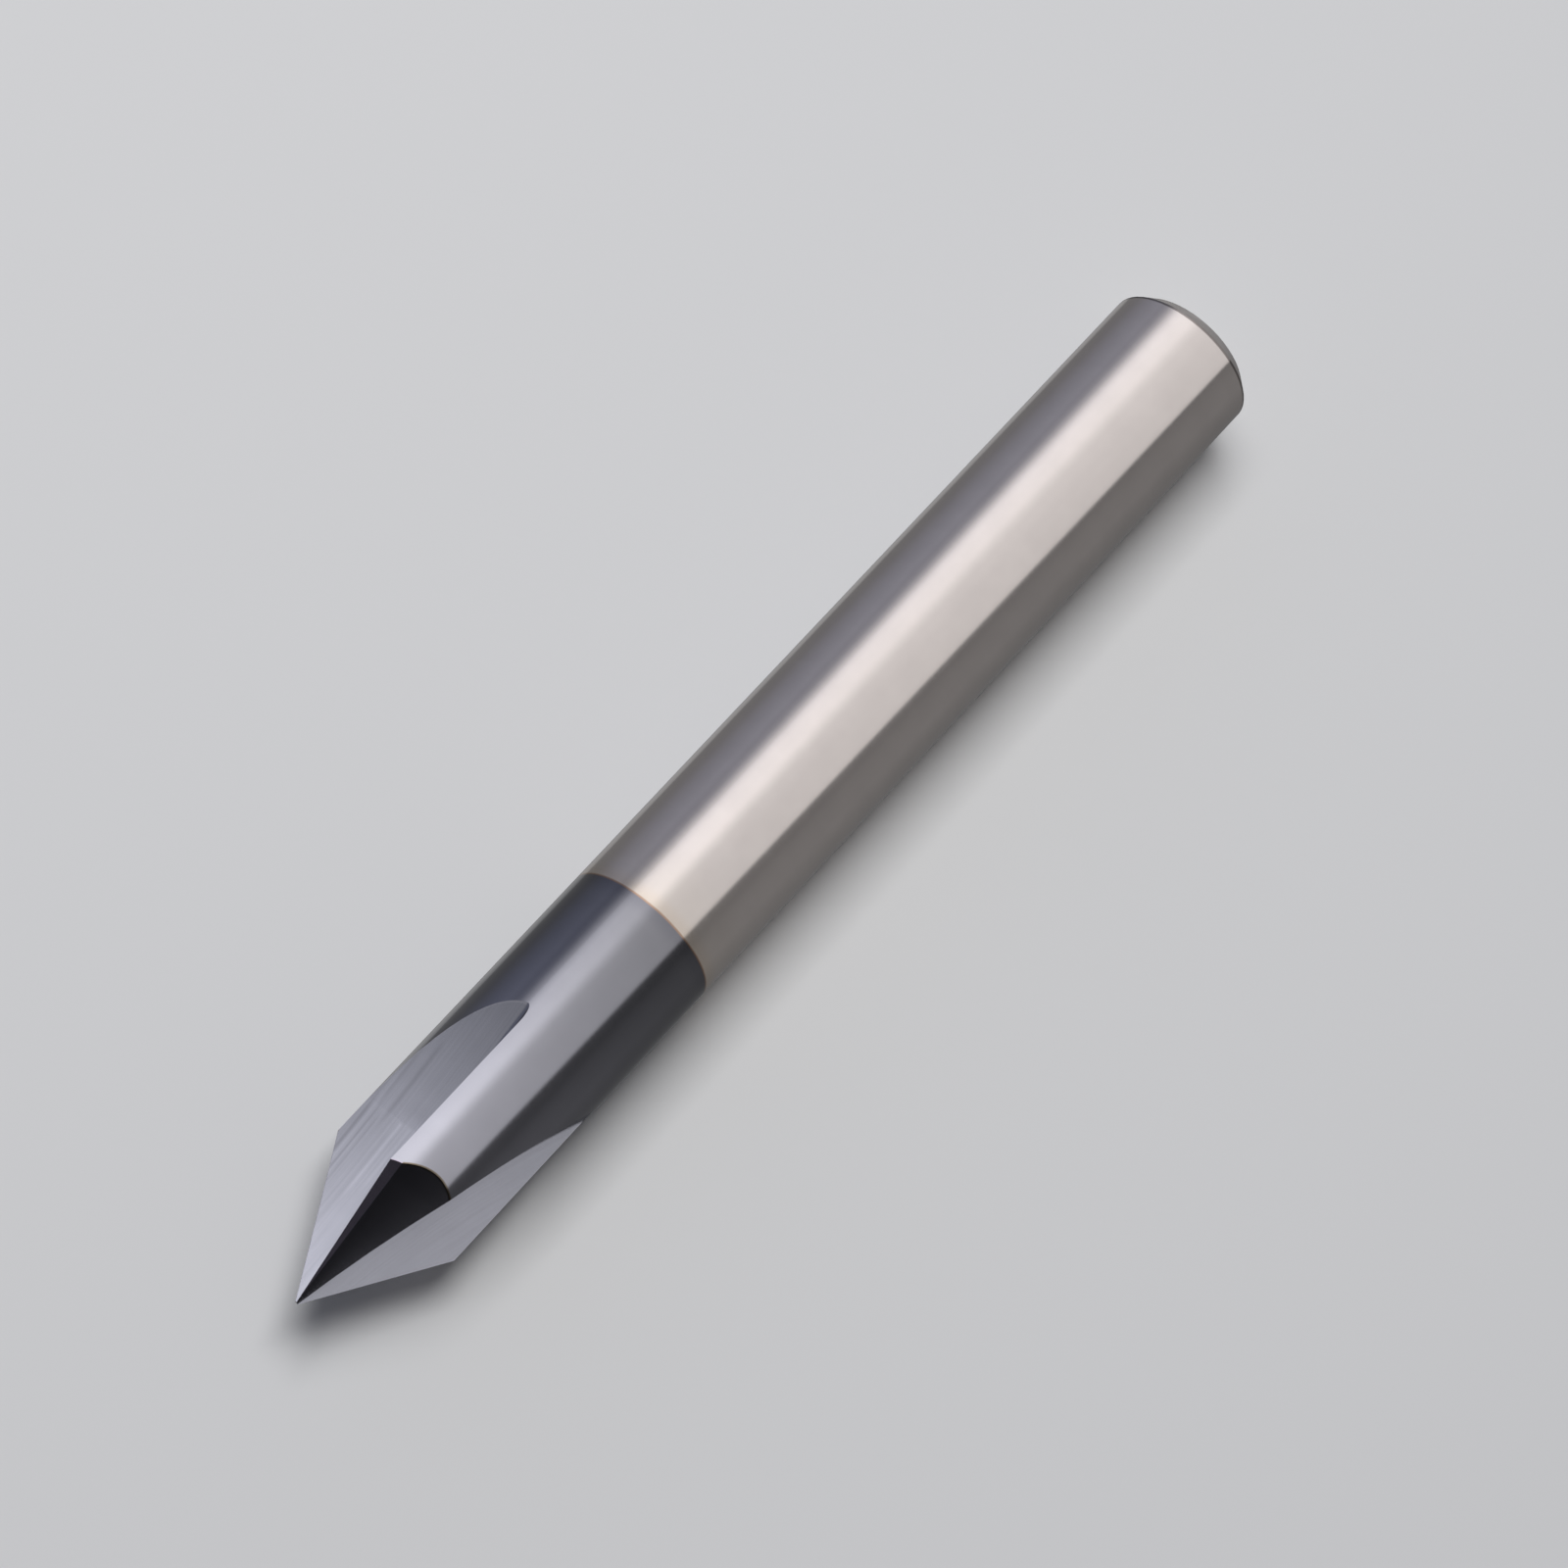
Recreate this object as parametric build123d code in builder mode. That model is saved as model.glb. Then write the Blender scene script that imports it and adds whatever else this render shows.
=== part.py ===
from build123d import *
from math import cos, degrees, radians, sin, sqrt, tan
import os

os.makedirs("parts", exist_ok=True)

# Driving sizes, in millimetres and degrees

# The rod that the bit is ground from, standing on its shank end
shank_diameter = 6.0
overall_length = 50.0
shank_end_chamfer = 0.5

# The point: the angle between opposite cutting edges, and the small flat left at the very tip
point_angle = 60.0
tip_flat_diameter = 0.15

# The straight flutes, each ground by one plunge of a large flat-sided wheel with rounded corners
tooth_count = 3
flute_length = 12.6
core_radius_at_tip = 0.075
wheel_radius = 50.0
wheel_corner_radius = 0.25
wheel_side_clearance = 1.0

# The front of each flute is ground again, a little deeper, by a wheel with a sharp corner. Its
# cut runs out on the floor of the flute, and its corner leaves the tooth face a little later
thinned_length = 7.0
thinning_depth = 0.03
thinning_corner_overrun = 0.3

# The two flat facets behind each cutting edge, a narrow land and then a steeper heel
land_relief_angle = 15.0
heel_relief_angle = 32.0
land_width = 0.4

# Where the first cutting edge stands, counted from +X
first_edge_direction = -70.0

# Sizes worked out from the driving ones
shank_radius = shank_diameter / 2
edge_slope = tan(radians(point_angle / 2))
tooth_spacing = 360 / tooth_count

# The sharp apex that the cutting edges would meet in, a little beyond the tip flat
apex = Vector(0, 0, overall_length + tip_flat_diameter / 2 / edge_slope)


def centre_of_wheel(rim_start, rim_end):
    """Where the wheel's centre stands, outside the rod, when its rim passes through two points."""
    chord = rim_end - rim_start
    across_chord = Vector(-chord.Z, 0, chord.X).normalized()
    centre_to_chord = sqrt(wheel_radius**2 - (chord.length / 2) ** 2)
    return (rim_start + rim_end) * 0.5 + across_chord * centre_to_chord


# The wheel's rim enters at the core of the tip and leaves the rod at the end of the flute
rim_at_tip = Vector(core_radius_at_tip, 0, overall_length)
rim_at_run_out = Vector(shank_radius, 0, overall_length - flute_length)
wheel_centre = centre_of_wheel(rim_at_tip, rim_at_run_out)

# The second wheel enters nearer the axis, and meets the floor of the flute where its cut ends
thinned_end_height = overall_length - thinned_length
floor_drop = sqrt(wheel_radius**2 - (wheel_centre.Z - thinned_end_height) ** 2)
thinning_at_tip = Vector(core_radius_at_tip - thinning_depth, 0, overall_length)
thinning_at_end = Vector(wheel_centre.X - floor_drop, 0, thinned_end_height)
thinning_centre = centre_of_wheel(thinning_at_tip, thinning_at_end)

# Both facets of a tooth pass through the apex, and they meet in a line at the back of the land
land_angle = degrees(land_width / shank_radius)
land_slope = edge_slope * cos(radians(land_relief_angle))
heel_slope = (
    land_slope
    * cos(radians(heel_relief_angle - land_angle))
    / cos(radians(land_relief_angle - land_angle))
)


def facet(edge_direction, relief_angle, slope):
    """The plane of a flank facet, leaning away from the cutting edge towards the heel."""
    leans_to = radians(edge_direction - relief_angle)
    return Plane(origin=apex, z_dir=(cos(leans_to), sin(leans_to), slope))


# The grinding wheel: its flat side cuts the tooth face, and its rim cuts the floor of the flute
with BuildPart() as wheel:
    with BuildSketch(Plane.XZ):
        with Locations((wheel_centre.X, wheel_centre.Z)):
            Circle(wheel_radius)
    extrude(amount=-(shank_radius + wheel_side_clearance))
    face_side_rim = wheel.edges().filter_by(GeomType.CIRCLE).sort_by(Axis.Y)[0]
    fillet(face_side_rim, wheel_corner_radius)

# The sharp-cornered wheel thins the web at the tip. Its corner stops short in the flute
with BuildPart() as thinning_wheel:
    with BuildSketch(Plane.XZ):
        with Locations((thinning_centre.X, thinning_centre.Z)):
            Circle(wheel_radius)
        with Locations((thinning_centre.X, thinned_end_height - thinning_corner_overrun)):
            Rectangle(
                4 * wheel_radius,
                4 * wheel_radius,
                align=(Align.CENTER, Align.MIN),
                mode=Mode.INTERSECT,
            )
    extrude(amount=-(shank_radius + wheel_side_clearance))

# The bit, one piece: shank, flutes and point
with BuildPart() as router_bit:
    Cylinder(shank_radius, overall_length, align=(Align.CENTER, Align.CENTER, Align.MIN))
    shank_end = router_bit.faces().sort_by(Axis.Z)[0]
    chamfer(shank_end.edges(), shank_end_chamfer)
    with PolarLocations(0, tooth_count, start_angle=first_edge_direction):
        add(wheel.part, mode=Mode.SUBTRACT)
        add(thinning_wheel.part, mode=Mode.SUBTRACT)
    for tooth in range(tooth_count):
        edge_direction = first_edge_direction + tooth * tooth_spacing
        land = facet(edge_direction, land_relief_angle, land_slope)
        heel = facet(edge_direction, heel_relief_angle, heel_slope)
        split(bisect_by=land, keep=Keep.BOTTOM)
        split(bisect_by=heel, keep=Keep.BOTTOM)

router_bit.part.label = "router_bit"
export_step(router_bit.part, "parts/router_bit.step")
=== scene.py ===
import math

import bpy
from mathutils import Matrix, Vector


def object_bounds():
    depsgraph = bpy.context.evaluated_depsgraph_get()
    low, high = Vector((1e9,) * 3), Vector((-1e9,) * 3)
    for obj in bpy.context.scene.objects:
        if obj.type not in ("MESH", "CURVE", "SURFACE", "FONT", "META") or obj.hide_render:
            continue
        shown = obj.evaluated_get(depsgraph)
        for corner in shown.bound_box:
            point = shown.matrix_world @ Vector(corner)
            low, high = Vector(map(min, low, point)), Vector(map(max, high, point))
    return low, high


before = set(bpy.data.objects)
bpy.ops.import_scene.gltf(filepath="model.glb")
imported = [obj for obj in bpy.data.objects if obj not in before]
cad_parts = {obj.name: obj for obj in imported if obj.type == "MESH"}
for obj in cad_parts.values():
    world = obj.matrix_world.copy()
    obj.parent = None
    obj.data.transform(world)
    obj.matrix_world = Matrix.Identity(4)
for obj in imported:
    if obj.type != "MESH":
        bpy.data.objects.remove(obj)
cadLow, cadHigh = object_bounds()
print("frame loaded, with", sorted(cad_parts))

mm = 0.001


# Short ways to write a node tree

def newNode(tree, kind, **settings):
    node = tree.nodes.new(kind)
    for name, value in settings.items():
        setattr(node, name, value)
    return node


def feed(tree, socket, value):
    if isinstance(value, bpy.types.NodeSocket):
        tree.links.new(value, socket)
    else:
        socket.default_value = value


def calc(tree, operation, *values):
    node = newNode(tree, "ShaderNodeMath", operation=operation)
    for socket, value in zip(node.inputs, values):
        feed(tree, socket, value)
    return node.outputs[0]


def product(tree, first, *others):
    for other in others:
        first = calc(tree, "MULTIPLY", first, other)
    return first


def ramp(tree, value, fromLow, fromHigh, toLow=0.0, toHigh=1.0, soft=True):
    node = newNode(tree, "ShaderNodeMapRange", interpolation_type="SMOOTHSTEP" if soft else "LINEAR")
    for name, given in (("Value", value), ("From Min", fromLow), ("From Max", fromHigh),
                        ("To Min", toLow), ("To Max", toHigh)):
        feed(tree, node.inputs[name], given)
    return node.outputs["Result"]


def within(tree, distance, reach, core=0.0, strength=1.0):
    # full strength up to the core on both sides of a line or a face, and nothing from the reach on
    return ramp(tree, calc(tree, "ABSOLUTE", distance), reach, core, 0.0, strength)


def mixColour(tree, share, first, second, how="MIX"):
    node = newNode(tree, "ShaderNodeMix", data_type="RGBA", blend_type=how)
    sockets = {s.identifier: s for s in node.inputs}
    feed(tree, sockets["Factor_Float"], share)
    feed(tree, sockets["A_Color"], first)
    feed(tree, sockets["B_Color"], second)
    return next(s for s in node.outputs if s.identifier == "Result_Color")


def mixValue(tree, share, first, second):
    node = newNode(tree, "ShaderNodeMix", data_type="FLOAT")
    sockets = {s.identifier: s for s in node.inputs}
    feed(tree, sockets["Factor_Float"], share)
    feed(tree, sockets["A_Float"], first)
    feed(tree, sockets["B_Float"], second)
    return next(s for s in node.outputs if s.identifier == "Result_Float")


def noise(tree, vector, scale, detail, roughness=0.5):
    node = newNode(tree, "ShaderNodeTexNoise")
    feed(tree, node.inputs["Vector"], vector)
    node.inputs["Scale"].default_value = scale
    node.inputs["Detail"].default_value = detail
    node.inputs["Roughness"].default_value = roughness
    return node.outputs["Fac"]


def varied(tree, pattern, contrast, level):
    # a level that a pattern from 0 to 1 moves up and down
    return calc(tree, "MULTIPLY_ADD", calc(tree, "SUBTRACT", pattern, 0.5), contrast, level)


def vectorOf(tree, x, y, z):
    node = newNode(tree, "ShaderNodeCombineXYZ")
    for socket, value in zip(node.inputs, (x, y, z)):
        feed(tree, socket, value)
    return node.outputs[0]


def axesOf(tree, vector):
    node = newNode(tree, "ShaderNodeSeparateXYZ")
    feed(tree, node.inputs[0], vector)
    return node.outputs


def scaled(tree, vector, factor):
    node = newNode(tree, "ShaderNodeVectorMath", operation="SCALE")
    feed(tree, node.inputs[0], vector)
    feed(tree, node.inputs["Scale"], factor)
    return node.outputs[0]


def fadeAlong(tree, position, stops):
    # a curve through stops at places from -1 to 1, read at a position that runs from 0 to 1
    node = newNode(tree, "ShaderNodeFloatCurve")
    curve = node.mapping.curves[0]
    stops = sorted((min(max(0.5 + 0.5 * at, 0.0), 1.0), share) for at, share in stops)
    curve.points[0].location = stops[0]
    curve.points[-1].location = stops[-1]
    for stop in stops[1:-1]:
        curve.points.new(*stop)
    for point in curve.points:
        point.handle_type = "VECTOR"
    node.mapping.update()
    feed(tree, node.inputs["Value"], position)
    return node.outputs[0]


# The bit's own measures, as the solid has them. The material finds each ground face with them

bit = {
    "node": "router_bit",
    "radius": 3.0 * mm,
    "length": cadHigh.z,
    "teeth": 3,
    "firstEdge": math.radians(-70),     # direction of the first cutting edge, counted from +X
    "edgeSlope": math.tan(math.radians(30)),
    "tipFlatRadius": 0.075 * mm,
    "coreRadius": 0.075 * mm,           # what the flutes' first cut leaves around the axis at the tip
    "fluteLength": 12.6 * mm,
    "thinnedLength": 7.0 * mm,          # the front of the flute, ground a second time
    "wheelRadius": 50.0 * mm,
    "landRelief": math.radians(15),
    "heelRelief": math.radians(32),
    "landWidth": 0.4 * mm,
    # how near to a face a point starts to count as on it, and how near it fully does
    "nearRound": (0.03 * mm, 0.015 * mm),
    "nearToothFace": (0.03 * mm, 0.01 * mm),
    "nearFacet": (0.02 * mm, 0.01 * mm),
    "landEdgeSoftness": 0.03,           # a share of the land's width
}


def surfacePlaces(tree):
    # where each kind of surface lies on the bit, worked out from the point being shaded
    place = newNode(tree, "ShaderNodeTexCoord").outputs["Object"]
    x, y, z = axesOf(tree, place)
    spacing = 2 * math.pi / bit["teeth"]
    radius = calc(tree, "SQRT", calc(tree, "ADD", product(tree, x, x), product(tree, y, y)))
    turned = calc(tree, "SUBTRACT", calc(tree, "ARCTAN2", y, x), bit["firstEdge"])
    ahead = calc(tree, "WRAP", turned, spacing, 0.0)          # angle in front of a cutting edge
    behind = calc(tree, "SUBTRACT", spacing, ahead)           # angle behind the next one
    tooth = calc(tree, "FLOOR", calc(tree, "DIVIDE", calc(tree, "WRAP", turned, 2 * math.pi, 0.0), spacing))

    apex = bit["length"] + bit["tipFlatRadius"] / bit["edgeSlope"]
    landAngle = bit["landWidth"] / bit["radius"]
    landSlope = bit["edgeSlope"] * math.cos(bit["landRelief"])
    heelSlope = (landSlope * math.cos(bit["heelRelief"] - landAngle)
                 / math.cos(bit["landRelief"] - landAngle))

    def facetHeight(relief, slope):
        # height above a flank facet's plane, negative inside the bit
        out = product(tree, radius, calc(tree, "COSINE", calc(tree, "SUBTRACT", behind, relief)))
        up = product(tree, calc(tree, "SUBTRACT", z, apex), slope)
        return calc(tree, "DIVIDE", calc(tree, "ADD", out, up), math.hypot(1, slope))

    heelHeight = facetHeight(bit["heelRelief"], heelSlope)
    landHeight = facetHeight(bit["landRelief"], landSlope)
    pastLand = ramp(tree, behind, landAngle * (1 - bit["landEdgeSoftness"]),
                    landAngle * (1 + bit["landEdgeSoftness"]))
    heel = product(tree, within(tree, heelHeight, *bit["nearFacet"]), pastLand)
    land = product(tree, within(tree, landHeight, *bit["nearFacet"]), calc(tree, "SUBTRACT", 1.0, pastLand))

    # the grinding wheel's centre, seen from one cutting edge, as the source works it out
    rimLow = Vector((bit["coreRadius"], bit["length"]))
    rimHigh = Vector((bit["radius"], bit["length"] - bit["fluteLength"]))
    chord = rimHigh - rimLow
    across = Vector((-chord.y, chord.x)).normalized()
    centre = (rimLow + rimHigh) / 2 + across * math.sqrt(bit["wheelRadius"] ** 2 - (chord.length / 2) ** 2)
    sideways = product(tree, radius, calc(tree, "SINE", ahead))
    outwards = calc(tree, "SUBTRACT", product(tree, radius, calc(tree, "COSINE", ahead)), centre.x)
    upwards = calc(tree, "SUBTRACT", z, centre.y)
    fromWheel = calc(tree, "SQRT", calc(tree, "ADD", product(tree, outwards, outwards),
                                        product(tree, upwards, upwards)))
    return {
        "place": place, "x": x, "y": y, "z": z, "tooth": tooth,
        "sideways": sideways,                 # distance in front of the tooth face
        "wheelDepth": fromWheel,              # the same all along one grinding mark
        "round": ramp(tree, radius, *(bit["radius"] - depth for depth in bit["nearRound"])),
        "toothFace": ramp(tree, sideways, *bit["nearToothFace"]),
        "heel": heel,
        "land": land,
        "facet": calc(tree, "MAXIMUM", heel, land),
        "heelHeight": heelHeight,
        "pastLand": pastLand,
    }


# The finish of the carbide: bare ground shank, and a hard coating over the front

finish = {
    "bare": (0.423, 0.386, 0.371, 1),
    "bareMetallic": 0.815,              # the rest scatters, as a matt ground surface does
    "coatRear": (0.160, 0.158, 0.173, 1),
    "coatFront": (0.240, 0.237, 0.266, 1),
    "coatEnd": 31.8 * mm,               # height where the coating ends
    "coatEndSoftness": 0.03 * mm,
    "coatEndWaver": 0.05 * mm,
    "waver": {"scale": 420.0, "detail": 3.0},   # per metre, as all scales here
    "coatBuildUp": 11.0 * mm,           # the coating reaches its full tone this far on
    "fringe": (0.27, 0.17, 0.115, 1),   # the thin brown line where the coating runs out
    "fringeWidth": 0.06 * mm,
    "fringeCore": 0.015 * mm,
    "fringeStrength": 0.75,
    "warmTint": (0.99, 0.95, 0.89, 1),  # the straw tint beside it, on the bare shank
    "warmWidth": 0.7 * mm,
    "faintTint": (1.0, 0.995, 0.97, 1), # and a fainter one further on
    "faintWidth": 3.0 * mm,
    "thinCoat": (0.86, 0.86, 0.88, 1),  # and the darker tone of the thin coating beside it
    "landTint": (1.05, 0.92, 1.0, 1),
    "heelTint": (0.72, 0.70, 0.72, 1),
    "edgeLine": (0.10, 0.075, 0.04, 1), # the thin brown line along the heel's edge
    "edgeLineWidth": 0.035 * mm,
    "edgeLineStrength": 0.8,
    # painted light: the chamfer and the shank end are painted lighter
    "chamferPaintedLight": (1.15, 1.15, 1.15, 1),
    "chamferReach": (0.51 * mm, 0.49 * mm),
    "chamferPaintedShade": (0.36, 0.35, 0.35, 1),
    "chamferLineHeight": 0.53 * mm,     # painted shade: the dark line where the shank rounds over into its chamfer
    "chamferLineWidth": 0.07 * mm,
    "fluteTint": (0.99, 1.005, 1.015, 1),
    "fluteRear": 0.95,                  # tone of the flute behind the part that is ground again
    "fluteNear": 0.10,                  # ahead of there it is this much lighter near the tooth face
    "nearReach": (1.75 * mm, 1.1 * mm),
    "fluteFar": -0.12,                  # and all along it is darker far from the tooth face
    "farReach": (2.44 * mm, 2.6 * mm),
    "cloud": {"scale": 900.0, "detail": 3.0},
    "cloudContrast": 0.10,
    "roundRoughness": 0.14,
    "roundGrain": 0.66,                 # how much more the marks scatter across themselves than along
    "fluteRoughness": 0.22,
    "fluteGrain": 0.9,
}

# The grinding marks

marks = {
    "rings": {"scale": 26000.0, "detail": 3.0, "roughness": 0.6},       # around the rod
    "lines": {"scale": 9000.0, "detail": 2.0, "roughness": 0.65},       # in the flutes and on the facets
    "fineLines": {"scale": 42000.0, "detail": 2.0, "roughness": 0.6},
    "stretch": 0.012,                   # how much slower a mark changes along itself
    "toothShift": 7.0 * mm,             # gives each flute lines of its own
    "ringContrast": 0.05,
    "frontContrast": 0.28,
    "rearContrast": 0.20,
    "faceShare": 0.70,                  # how much of the contrast the flat tooth faces show
    "frontReach": (-0.6 * mm, 0.1 * mm),    # where the front sets in, from the end of the second grinding
    "glossContrast": 0.06,
    "bump": 0.0012 * mm,
    "bumpFineShare": 0.3,
    "bumpRingShare": 0.25,
    # single deeper marks along each flute: distance in front of the tooth face, width, strength,
    # and the heights between which they show
    "single": [
        (2.54 * mm, 0.26 * mm, -0.22, 42.6 * mm, 48.6 * mm),
        (2.25 * mm, 0.18 * mm, -0.14, 42.6 * mm, 48.6 * mm),
        (2.16 * mm, 0.12 * mm, 0.05, 43.6 * mm, 48.0 * mm),
        (2.04 * mm, 0.17 * mm, -0.14, 42.8 * mm, 48.6 * mm),
        (1.37 * mm, 0.17 * mm, -0.09, 43.2 * mm, 48.6 * mm),
        (1.22 * mm, 0.26 * mm, 0.17, 43.0 * mm, 46.6 * mm),
        (0.85 * mm, 0.20 * mm, 0.09, 43.0 * mm, 46.0 * mm),
        (2.32 * mm, 0.20 * mm, -0.12, 39.8 * mm, 43.4 * mm),
        (1.83 * mm, 0.30 * mm, -0.13, 39.8 * mm, 43.9 * mm),
    ],
    "lightStart": 0.15 * mm,            # over what height the light ones and the dark ones start
    "darkStart": 0.9 * mm,
    "fadeOut": 1.2 * mm,                # and over what height all of them end towards the tip
}


def pastCoatEnd(tree, on):
    # height above the coating's end, which wavers a little around the shank
    waver = noise(tree, on["place"], **finish["waver"])
    height = varied(tree, waver, 2 * finish["coatEndWaver"], on["z"])
    return calc(tree, "SUBTRACT", height, finish["coatEnd"])


def grindingMarks(tree, on):
    # rings around the rod, curved lines along the flutes, and straight lines on the flank facets
    across = [product(tree, on[axis], marks["stretch"]) for axis in ("x", "y")]
    rings = noise(tree, vectorOf(tree, *across, on["z"]), **marks["rings"])
    alongTooth = calc(tree, "MULTIPLY_ADD", on["tooth"], marks["toothShift"],
                      product(tree, on["z"], marks["stretch"]))
    where = vectorOf(tree, mixValue(tree, on["facet"], on["sideways"], across[0]),
                     mixValue(tree, on["facet"], on["wheelDepth"], across[1]),
                     mixValue(tree, on["facet"], alongTooth, on["z"]))
    return rings, noise(tree, where, **marks["lines"]), noise(tree, where, **marks["fineLines"])


def singleMarks(tree, on):
    marked = 0.0
    for distance, width, strength, low, high in marks["single"]:
        start = marks["lightStart"] if strength > 0 else marks["darkStart"]
        ends = product(tree, ramp(tree, on["z"], low, low + start),
                       ramp(tree, on["z"], high, high - marks["fadeOut"]))
        beside = calc(tree, "SUBTRACT", on["sideways"], distance)
        mark = product(tree, within(tree, beside, 0.5 * width, strength=strength), ends)
        marked = calc(tree, "ADD", marked, mark)
    return marked


def fluteTone(tree, on, lines):
    # how light the flutes and facets are: one tone by place, then the single marks and the lines
    frontStart, frontEnd = (bit["length"] - bit["thinnedLength"] + at for at in marks["frontReach"])
    inFront = ramp(tree, on["z"], frontStart, frontEnd)
    front = ramp(tree, on["sideways"], *finish["nearReach"], 1.0, 1.0 + finish["fluteNear"])
    front = mixValue(tree, on["toothFace"], front, 1.0)
    tone = mixValue(tree, calc(tree, "MAXIMUM", inFront, on["toothFace"]), finish["fluteRear"], front)
    tone = calc(tree, "ADD", tone, ramp(tree, on["sideways"], *finish["farReach"], 0.0, finish["fluteFar"]))
    offFacets = calc(tree, "SUBTRACT", 1.0, on["facet"])
    tone = calc(tree, "MULTIPLY_ADD", singleMarks(tree, on), offFacets, tone)
    contrast = product(tree, mixValue(tree, inFront, marks["rearContrast"], marks["frontContrast"]),
                       mixValue(tree, on["toothFace"], 1.0, marks["faceShare"]))
    return varied(tree, lines, contrast, tone)


def coatColour(tree, on, pastEnd, nearEnd):
    builtUp = ramp(tree, pastEnd, 0.0, finish["coatBuildUp"], soft=False)
    colour = mixColour(tree, builtUp, finish["coatRear"], finish["coatFront"])
    colour = mixColour(tree, on["heel"], colour, finish["heelTint"], "MULTIPLY")
    colour = mixColour(tree, on["land"], colour, finish["landTint"], "MULTIPLY")
    nearHeel = within(tree, on["heelHeight"], finish["edgeLineWidth"], 0.5 * finish["edgeLineWidth"])
    edge = product(tree, on["round"], on["pastLand"], nearHeel, finish["edgeLineStrength"])
    colour = mixColour(tree, edge, colour, finish["edgeLine"])
    offRound = calc(tree, "SUBTRACT", 1.0, on["round"])
    colour = mixColour(tree, offRound, colour, finish["fluteTint"], "MULTIPLY")
    return mixColour(tree, nearEnd, colour, finish["thinCoat"], "MULTIPLY")


def bareColour(tree, on, pastEnd, nearEnd):
    colour = mixColour(tree, nearEnd, finish["bare"], finish["warmTint"], "MULTIPLY")
    around = within(tree, pastEnd, finish["faintWidth"])
    colour = mixColour(tree, around, colour, finish["faintTint"], "MULTIPLY")
    # painted light: the chamfer and the shank end are painted lighter
    chamfer = ramp(tree, on["z"], *finish["chamferReach"])
    colour = mixColour(tree, chamfer, colour, finish["chamferPaintedLight"], "MULTIPLY")
    # painted shade: a dark line where the shank rounds over into its chamfer
    fromLine = calc(tree, "SUBTRACT", on["z"], finish["chamferLineHeight"])
    line = within(tree, fromLine, finish["chamferLineWidth"], 0.5 * finish["chamferLineWidth"])
    return mixColour(tree, line, colour, finish["chamferPaintedShade"], "MULTIPLY")


def carbideMaterial():
    material = bpy.data.materials.new("groundCarbide")
    material.use_nodes = True
    tree = material.node_tree
    tree.nodes.clear()
    output = newNode(tree, "ShaderNodeOutputMaterial")
    surface = newNode(tree, "ShaderNodeBsdfPrincipled")
    feed(tree, output.inputs["Surface"], surface.outputs["BSDF"])
    on = surfacePlaces(tree)
    pastEnd = pastCoatEnd(tree, on)
    coated = ramp(tree, pastEnd, -finish["coatEndSoftness"], finish["coatEndSoftness"])
    rings, lines, fineLines = grindingMarks(tree, on)

    # colour
    nearEnd = within(tree, pastEnd, finish["warmWidth"])
    bare = bareColour(tree, on, pastEnd, nearEnd)
    coat = coatColour(tree, on, pastEnd, nearEnd)
    fringe = within(tree, pastEnd, finish["fringeWidth"], finish["fringeCore"])
    colour = mixColour(tree, product(tree, fringe, finish["fringeStrength"]),
                       mixColour(tree, coated, bare, coat), finish["fringe"])
    ringTone = varied(tree, rings, marks["ringContrast"], 1.0)
    cloud = varied(tree, noise(tree, on["place"], **finish["cloud"]), finish["cloudContrast"], 1.0)
    tone = product(tree, mixValue(tree, on["round"], fluteTone(tree, on, lines), ringTone), cloud)
    feed(tree, surface.inputs["Base Color"], scaled(tree, colour, tone))
    feed(tree, surface.inputs["Metallic"], mixValue(tree, coated, finish["bareMetallic"], 1.0))

    # gloss, which the marks stretch across themselves: on the rod they lie a quarter turn from the flutes'
    grain = mixValue(tree, on["round"], finish["fluteGrain"], finish["roundGrain"])
    feed(tree, surface.inputs["Anisotropic"], grain)
    feed(tree, surface.inputs["Anisotropic Rotation"], product(tree, on["round"], 0.25))
    aboutAxis = newNode(tree, "ShaderNodeTangent", direction_type="RADIAL", axis="Z")
    feed(tree, surface.inputs["Tangent"], aboutAxis.outputs[0])
    roughness = mixValue(tree, on["round"], finish["fluteRoughness"], finish["roundRoughness"])
    pattern = mixValue(tree, on["round"], fineLines, rings)
    feed(tree, surface.inputs["Roughness"], varied(tree, pattern, marks["glossContrast"], roughness))

    # relief of the marks
    lineRelief = calc(tree, "ADD", lines, product(tree, fineLines, marks["bumpFineShare"]))
    relief = mixValue(tree, on["round"], lineRelief, product(tree, rings, marks["bumpRingShare"]))
    bump = newNode(tree, "ShaderNodeBump")
    bump.inputs["Strength"].default_value = 1.0
    bump.inputs["Distance"].default_value = marks["bump"]
    feed(tree, bump.inputs["Height"], relief)
    feed(tree, surface.inputs["Normal"], bump.outputs[0])
    return material


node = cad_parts[bit["node"]]
node.data.materials.clear()
node.data.materials.append(carbideMaterial())
print("carbide and coating finished")


# The photograph's view, from beside the point, rolled so that the point is at lower left

view = {
    "place": Vector((0.0, -205.25, 111.83)) * mm,
    "right": Vector((-0.7306, -0.2693, -0.6274)),
    "up": Vector((0.6828, -0.2878, -0.6715)),
    "turn": math.radians(0.4),          # about the bit's axis
    "lens": 144.54,
    "sensor": 36.0,
    "nearest": 0.01,
    "furthest": 10.0,
}


def makeCamera():
    data = bpy.data.cameras.new("photoCamera")
    data.lens = view["lens"]
    data.sensor_width = view["sensor"]
    data.clip_start = view["nearest"]
    data.clip_end = view["furthest"]
    camera = bpy.data.objects.new("photoCamera", data)
    bpy.context.scene.collection.objects.link(camera)
    right = view["right"].normalized()
    back = right.cross(view["up"]).normalized()
    pose = Matrix((right, back.cross(right), back)).transposed().to_4x4()
    pose.translation = view["place"]
    camera.matrix_world = Matrix.Rotation(view["turn"], 4, "Z") @ pose
    bpy.context.scene.camera = camera


makeCamera()
print("camera set")


# The pale surface that the bit lies on in the photograph. It shows from its upper side only,
# and it fades into the backdrop, so that the bit can be seen from all round

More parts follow.
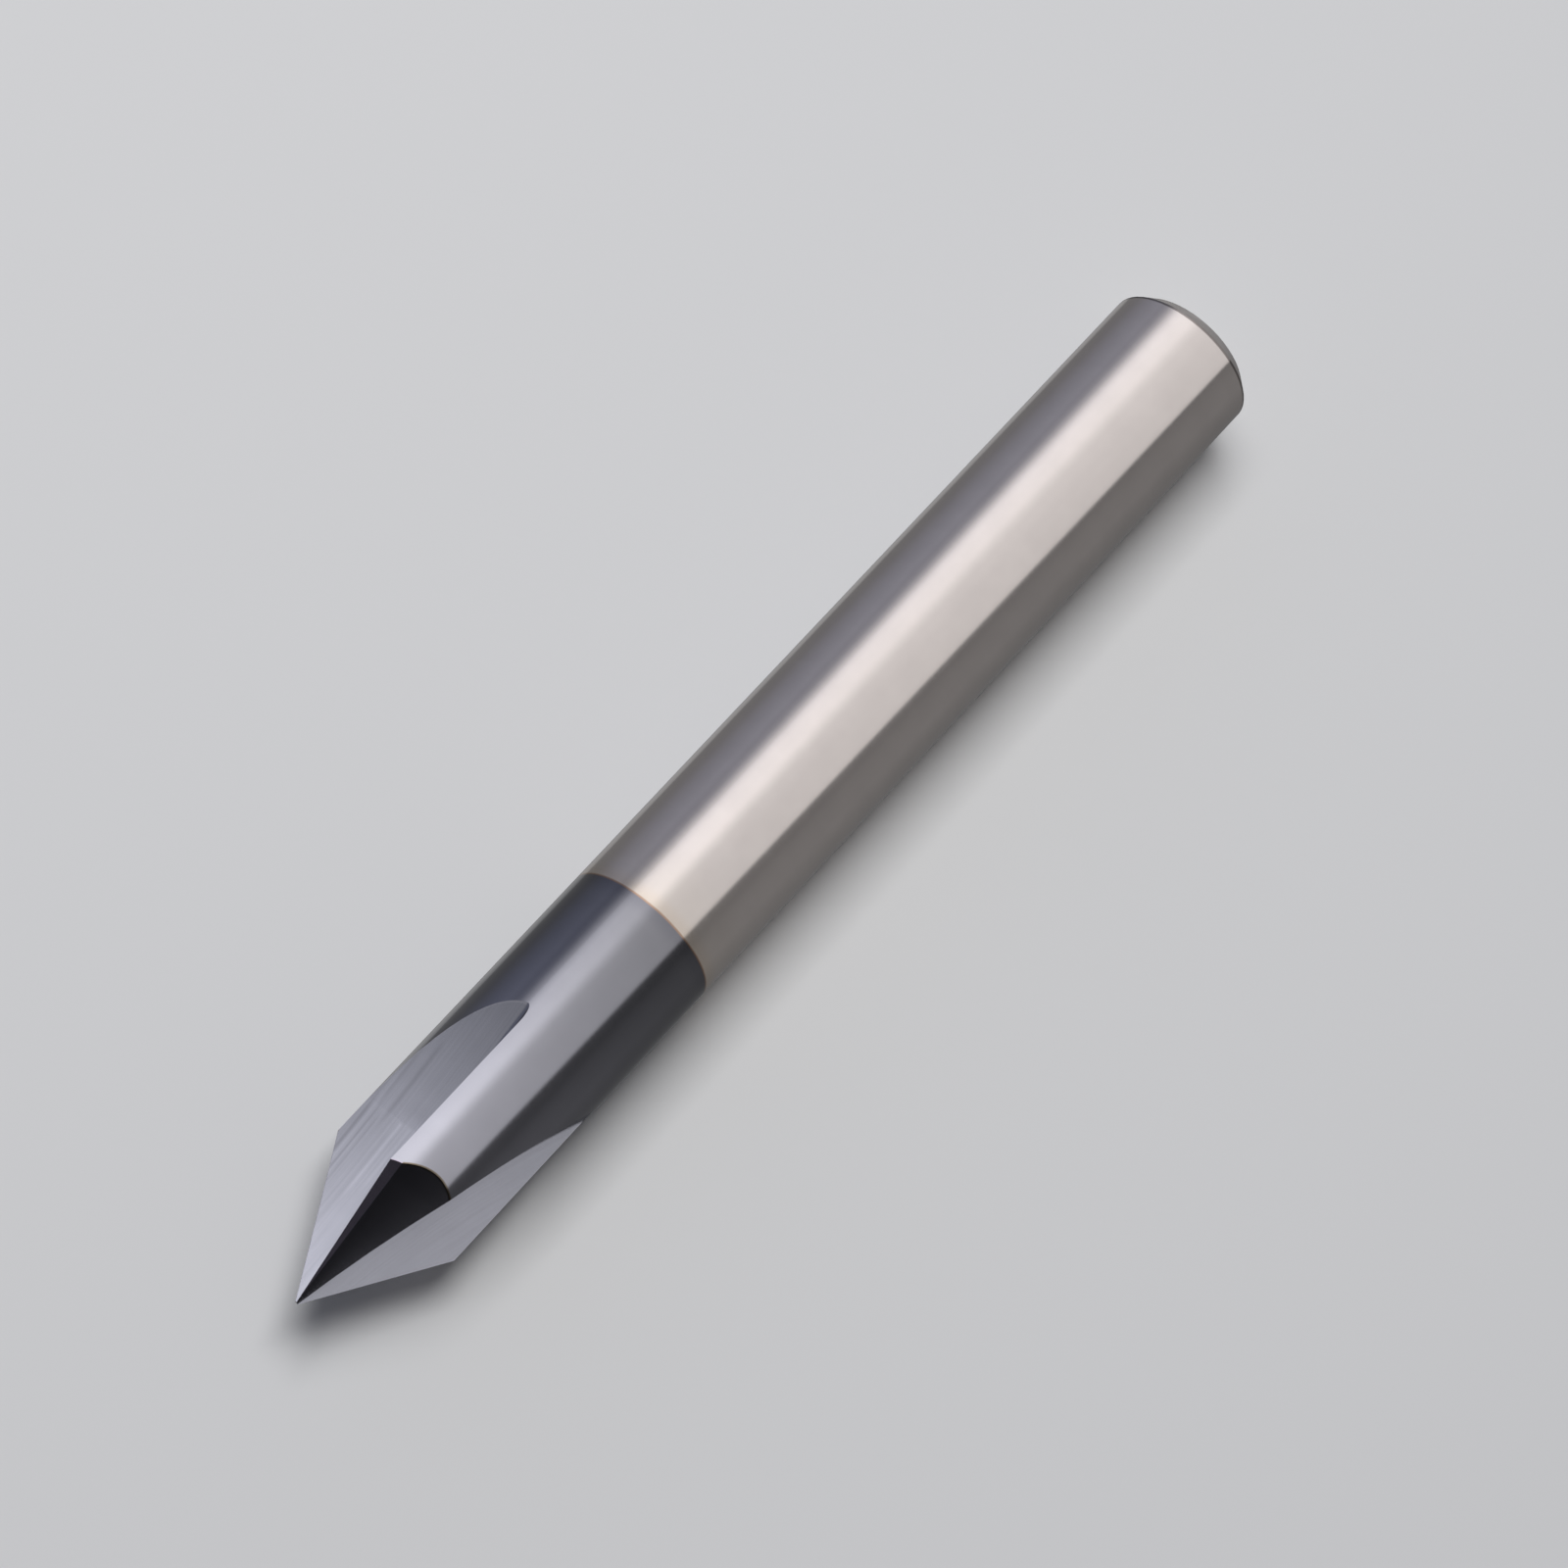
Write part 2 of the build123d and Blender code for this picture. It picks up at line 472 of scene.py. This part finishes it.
floor = {
    "gap": 0.01 * mm,
    "half": 0.3,
    "colour": (0.60, 0.60, 0.605, 1),
    "fadeFrom": 0.07,
    "fadeTo": 0.14,
}


def floorMaterial(middle):
    material = bpy.data.materials.new("paleFloor")
    material.use_nodes = True
    tree = material.node_tree
    tree.nodes.clear()
    output = newNode(tree, "ShaderNodeOutputMaterial")
    paint = newNode(tree, "ShaderNodeBsdfDiffuse")
    paint.inputs["Color"].default_value = floor["colour"]
    clear = newNode(tree, "ShaderNodeBsdfTransparent")
    either = newNode(tree, "ShaderNodeMixShader")
    geometry = newNode(tree, "ShaderNodeNewGeometry")
    away = newNode(tree, "ShaderNodeVectorMath", operation="DISTANCE")
    feed(tree, away.inputs[0], geometry.outputs["Position"])
    away.inputs[1].default_value = middle
    faded = ramp(tree, away.outputs["Value"], floor["fadeFrom"], floor["fadeTo"])
    feed(tree, either.inputs[0], calc(tree, "MAXIMUM", geometry.outputs["Backfacing"], faded))
    feed(tree, either.inputs[1], paint.outputs[0])
    feed(tree, either.inputs[2], clear.outputs[0])
    feed(tree, output.inputs["Surface"], either.outputs[0])
    return material


def makeFloor():
    half = floor["half"]
    depth = bit["radius"] + floor["gap"]
    middle = bit["length"] / 2
    corners = [(-half, depth, middle - half), (half, depth, middle - half),
               (half, depth, middle + half), (-half, depth, middle + half)]
    mesh = bpy.data.meshes.new("paleFloor")
    mesh.from_pydata(corners, [], [(0, 1, 2, 3)])
    mesh.materials.append(floorMaterial((0, depth, middle)))
    thing = bpy.data.objects.new("paleFloor", mesh)
    bpy.context.scene.collection.objects.link(thing)
    thing.visible_glossy = False
    thing.visible_diffuse = False
    thing.visible_transmission = False
    thing.visible_shadow = False
    return thing


paleFloor = makeFloor()
print("floor made")


# Soft studio light. Directions are azimuth, counted from -Y towards -X, and elevation

softboxes = {
    # the bright half of the wide softbox is on the +X side. It fades upwards, towards the point,
    # and a slanted flag cuts it off on the -X side
    "wide": {
        "azimuth": -8.5, "elevation": -21.0, "distance": 0.30, "halfWidth": 1.45, "halfHeight": 1.2,
        "radiance": 2.22, "lights": "bit",
        "across": [(-68, 0.0), (-62, 0.08), (-56, 0.31), (-50, 0.63), (-44, 0.88), (-37, 1.0),
                   (-24, 1.0), (-19, 0.95), (-13, 0.80), (-5.5, 0.655), (12, 0.59), (30, 0.555), (45, 0.54)],
        "upward": [(-66, 1.0), (-32, 1.0), (-23, 0.92), (-6, 0.92), (0, 0.85), (8, 0.63), (14, 0.46),
                   (22, 0.30), (28, 0.1), (29, 0.0)],
        "flag": -1.07, "flagSlant": 0.62, "flagSoftness": 0.006,
        # patches that are lighter or darker by a share, and the ranges over which they set in
        "patches": [
            # the bright half, above its middle and below it
            {"change": 0.30, "up": [(0.02, 0.09)], "out": [(-0.15, 0.15)]},
            {"change": -0.13, "up": [(-0.02, -0.10)], "out": [(-0.15, 0.15)]},
            # the other half, where the front of the bit mirrors it
            {"change": -0.09, "up": [(-0.005, 0.03), (0.075, 0.045)], "out": [(0.25, 0.05)]},
            # the far edge of the bright half, where the rear mirrors it
            {"change": -0.28, "up": [(-0.06, -0.12)], "out": [(0.60, 1.1)]},
        ],
    },
    # light from behind on the +X side, which the left outline of the bit picks up
    "behind": {
        "azimuth": -158.0, "elevation": -15.0, "distance": 0.30, "halfWidth": 0.20, "halfHeight": 0.7,
        "radiance": 0.22, "lights": "bit",
    },
    # a fill from high on the right, which the round shank scatters but doesn't mirror to the camera
    "fill": {
        "azimuth": 85.0, "elevation": 52.0, "distance": 0.30, "halfWidth": 0.35, "halfHeight": 0.35,
        "radiance": 6.0, "lights": "bit",
    },
    "overFloor": {
        "azimuth": -16.0, "elevation": -8.0, "distance": 0.30, "halfWidth": 0.29, "halfHeight": 0.29,
        "radiance": 9.0, "lights": "floor",
    },
}


def towards(azimuth, elevation):
    a, e = math.radians(azimuth), math.radians(elevation)
    return Vector((-math.sin(a) * math.cos(e), -math.cos(a) * math.cos(e), math.sin(e)))


def softboxAxes(box):
    out = towards(box["azimuth"], box["elevation"])
    side = Vector((0, 0, 1)).cross(out).normalized()
    return side, out.cross(side), out


def onSoftbox(box, azimuth, elevation):
    # where a direction from the bit meets the softbox, from -1 to 1 across and up
    side, up, out = softboxAxes(box)
    ray = towards(azimuth, elevation)
    ray = ray / ray.dot(out)
    return ray.dot(side) / box["halfWidth"], ray.dot(up) / box["halfHeight"]


def softboxStrength(tree, box):
    # how bright each place on the softbox is, as a share of its radiance
    spot = axesOf(tree, newNode(tree, "ShaderNodeNewGeometry").outputs["Parametric"])
    level = box["elevation"]
    across = [(onSoftbox(box, azimuth, level)[0], share) for azimuth, share in box["across"]]
    upward = [(onSoftbox(box, box["azimuth"], elevation)[1], share) for elevation, share in box["upward"]]
    strength = product(tree, fadeAlong(tree, spot[0], across), fadeAlong(tree, spot[1], upward))

    # distances from the softbox's middle, as shares of how far away it stands
    out = product(tree, calc(tree, "SUBTRACT", spot[0], 0.5), 2 * box["halfWidth"])
    up = product(tree, calc(tree, "SUBTRACT", spot[1], 0.5), 2 * box["halfHeight"])
    flagged = calc(tree, "SUBTRACT", out, product(tree, up, box["flagSlant"]))
    pastFlag = ramp(tree, flagged, box["flag"] - box["flagSoftness"], box["flag"] + box["flagSoftness"])
    strength = product(tree, strength, pastFlag)
    for patch in box["patches"]:
        ranges = [(up, reach) for reach in patch["up"]] + [(out, reach) for reach in patch["out"]]
        change = product(tree, patch["change"], *(ramp(tree, distance, *reach) for distance, reach in ranges))
        strength = product(tree, strength, calc(tree, "ADD", 1.0, change))
    return strength


def makeSoftbox(name, box):
    data = bpy.data.lights.new(name, "AREA")
    data.shape = "RECTANGLE"
    data.size = 2 * box["halfWidth"] * box["distance"]
    data.size_y = 2 * box["halfHeight"] * box["distance"]
    data.energy = math.pi * data.size * data.size_y * box["radiance"]
    lamp = bpy.data.objects.new(name, data)
    bpy.context.scene.collection.objects.link(lamp)
    side, up, out = softboxAxes(box)
    pose = Matrix((side, up, out)).transposed().to_4x4()
    pose.translation = out * box["distance"] + Vector((0, 0, bit["length"] / 2))
    lamp.matrix_world = pose
    lamp.visible_camera = False
    if "across" in box:
        data.use_nodes = True
        tree = data.node_tree
        emission = next(n for n in tree.nodes if n.type == "EMISSION")
        feed(tree, emission.inputs["Strength"], softboxStrength(tree, box))

    # each softbox lights either the bit or the floor
    receivers = bpy.data.collections.new(name + "Lights")
    receivers.objects.link(node if box["lights"] == "bit" else paleFloor)
    lamp.light_linking.receiver_collection = receivers


for boxName, boxValues in softboxes.items():
    makeSoftbox(boxName + "Softbox", boxValues)


# The room around: grey, brighter to both sides, dark where the camera stands, and pale as a backdrop

room = {
    "left": (0.402, 0.429, 0.535, 1),    # +X side
    "leftAcross": (0.1, 0.7),            # where the left side's tone sets in, going towards +X
    "leftForward": (0.7, 0.05),          # and going forward, from +Y
    "right": (0.369, 0.372, 0.378, 1),
    "around": [(-180, 0.37), (-150, 0.58), (-120, 0.57), (-97, 0.77), (-78, 0.97), (-60, 0.80), (-35, 0.40),
               (40, 0.36), (56, 0.42), (68, 0.56), (80, 0.63), (100, 0.67), (125, 0.51), (150, 0.40),
               (180, 0.36)],
    "below": 1.6,                        # how much brighter it is straight below the shank end
    "belowReach": (-0.70, -0.88),
    "backdrop": (0.58, 0.58, 0.585, 1),
    "darkAzimuth": 30.0,
    "darkElevation": 37.0,
    "darkShare": 0.2,
    "darkFrom": 42.0,
    "darkTo": 15.0,
}


def makeRoom():
    world = bpy.data.worlds.new("studio")
    bpy.context.scene.world = world
    world.use_nodes = True
    tree = world.node_tree
    tree.nodes.clear()
    output = newNode(tree, "ShaderNodeOutputWorld")
    background = newNode(tree, "ShaderNodeBackground")
    direction = newNode(tree, "ShaderNodeTexCoord").outputs["Generated"]
    x, y, z = axesOf(tree, direction)
    facing = newNode(tree, "ShaderNodeVectorMath", operation="DOT_PRODUCT")
    feed(tree, facing.inputs[0], direction)
    facing.inputs[1].default_value = towards(room["darkAzimuth"], room["darkElevation"])
    shade = ramp(tree, facing.outputs["Value"], math.cos(math.radians(room["darkFrom"])),
                 math.cos(math.radians(room["darkTo"])), 1.0, room["darkShare"])
    azimuth = calc(tree, "ARCTAN2", product(tree, x, -1.0), product(tree, y, -1.0))
    heading = calc(tree, "MULTIPLY_ADD", azimuth, 0.5 / math.pi, 0.5)
    around = [(degrees / 180, share) for degrees, share in room["around"]]
    shade = product(tree, shade, fadeAlong(tree, heading, around),
                    ramp(tree, z, *room["belowReach"], 1.0, 1.0 + room["below"]))
    toLeft = product(tree, ramp(tree, x, *room["leftAcross"]), ramp(tree, y, *room["leftForward"]))
    shaded = scaled(tree, mixColour(tree, toLeft, room["right"], room["left"]), shade)
    seenByCamera = newNode(tree, "ShaderNodeLightPath").outputs["Is Camera Ray"]
    feed(tree, background.inputs["Color"], mixColour(tree, seenByCamera, shaded, room["backdrop"]))
    feed(tree, output.inputs["Surface"], background.outputs[0])


makeRoom()
bpy.context.scene.view_settings.view_transform = "Standard"
print("lights and room made")
